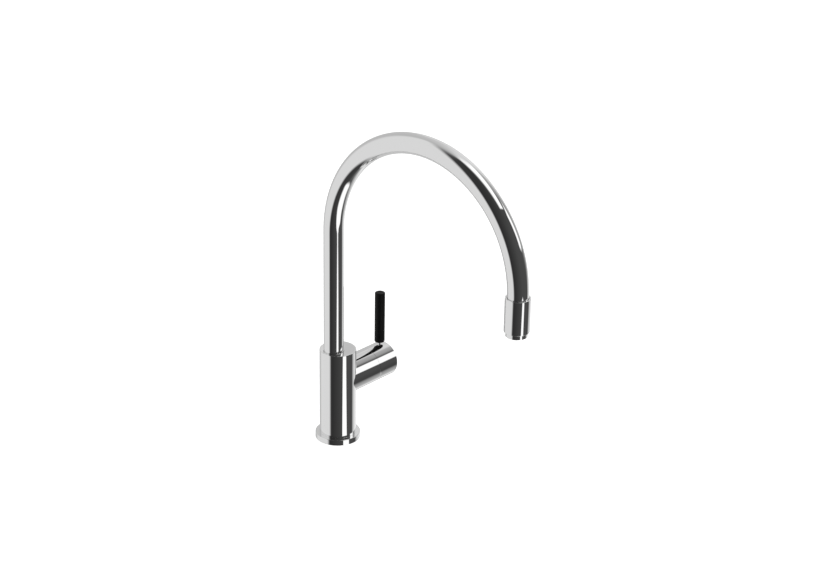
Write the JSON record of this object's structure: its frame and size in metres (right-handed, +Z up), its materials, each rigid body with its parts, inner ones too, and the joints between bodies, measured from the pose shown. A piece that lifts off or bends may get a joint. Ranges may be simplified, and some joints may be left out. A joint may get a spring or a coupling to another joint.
{
  "type": "pull-down kitchen faucet",
  "caption": "Single-lever pull-down kitchen faucet: round upright body, high semicircular swivel spout, short cylindrical spray head and a side barrel with a slim black pin lever.",
  "frame": {"origin": "centre of the base flange's underside, in the plane of the worktop", "axes": "+Z up, the spout reaches along -Y towards the user, the lever barrel points along +X"},
  "size_m": [0.1031, 0.2916, 0.4464],
  "materials": {
    "chrome": "mirror-polished chrome plate",
    "black_grip": "satin black",
    "brass": "machined",
    "steel": "bright zinc or stainless",
    "rubber": "matt black",
    "hose_braid": "grey nylon braid",
    "grey_plastic": "moulded acetal",
    "cartridge_plastic": "moulded white",
    "ceramic": "lapped alumina"
  },
  "bodies": {
    "root": {"base_flange": "chrome", "base_gasket": "rubber", "threaded_shank": "brass", "rubber_washer": "rubber", "steel_washer": "steel", "clamp_nut": "brass", "jack_screws": "steel", "hose_guide": "grey_plastic", "body_shell": "chrome", "swivel_bush": "grey_plastic", "swivel_stop_screw": "steel", "barrel_housing": "chrome", "valve_manifold": "brass", "inlet_sockets": "brass", "cartridge_seat": "brass", "seat_screws": "steel", "cartridge_base": "cartridge_plastic", "port_seals": "rubber", "fixed_disc": "ceramic", "cartridge_housing": "cartridge_plastic", "cartridge_nut": "brass", "dome_cover": "chrome"},
    "spout": {"spout_tube": "chrome", "spout_sleeve": "brass", "dock_insert": "grey_plastic", "spray_hose": "hose_braid"},
    "hose_end": {"hose_tail": "hose_braid", "hose_ferrule": "steel", "hose_connector": "brass", "connector_oring": "rubber"},
    "spray_head": {"head_shell": "chrome", "head_liner": "grey_plastic", "swivel_nut": "brass", "check_valve_body": "grey_plastic", "check_valve_spring": "steel", "aerator_ring": "chrome", "aerator_insert": "grey_plastic", "aerator_seal": "rubber"},
    "valve_poppet": {"check_valve_poppet": "grey_plastic"},
    "mixing_guide": {"cartridge_carrier": "cartridge_plastic", "pivot_pin": "steel"},
    "lever": {"lever_spindle": "steel", "handle_cap": "chrome", "cap_grub_screw": "steel", "lever_stem": "chrome", "lever_grip": "black_grip"},
    "disc_slider": {"moving_disc": "ceramic", "disc_coupler": "cartridge_plastic"}
  },
  "joints": [
    {"name": "spout_swivel", "type": "hinge", "parent": "root", "child": "spout", "pos_m": [-0.0063, 0, 0.1], "axis": [0, 0, 1], "range_deg": [-70, 70]},
    {"name": "head_pull", "type": "slide", "parent": "spout", "child": "hose_end", "axis": [0, 0, -1], "range_m": [0, 0.2], "deforming": ["hose_tail"]},
    {"name": "head_turn", "type": "hinge", "parent": "hose_end", "child": "spray_head", "pos_m": [-0.0063, -0.2496, 0.23], "axis": [0, 0, 1], "continuous": true},
    {"name": "valve_open", "type": "slide", "parent": "spray_head", "child": "valve_poppet", "axis": [0, 0, -1], "range_m": [0, 0.0012], "stiffness_N_per_m": 40, "springref_m": -0.002, "deforming": ["check_valve_spring"]},
    {"name": "temperature_turn", "type": "hinge", "parent": "root", "child": "mixing_guide", "pos_m": [0.038, 0, 0.069], "axis": [1, 0, 0], "range_deg": [-45, 45]},
    {"name": "lever_tilt", "type": "hinge", "parent": "mixing_guide", "child": "lever", "pos_m": [0.038, 0, 0.069], "axis": [0, 1, 0], "range_deg": [0, 15]},
    {"name": "disc_slide", "type": "slide", "parent": "mixing_guide", "child": "disc_slider", "axis": [0, 0, 1], "range_m": [0, 0.0028]}
  ],
  "couplings": [
    {"joint": "disc_slide", "follows": "lever_tilt", "m_per_rad": 0.0106}
  ]
}
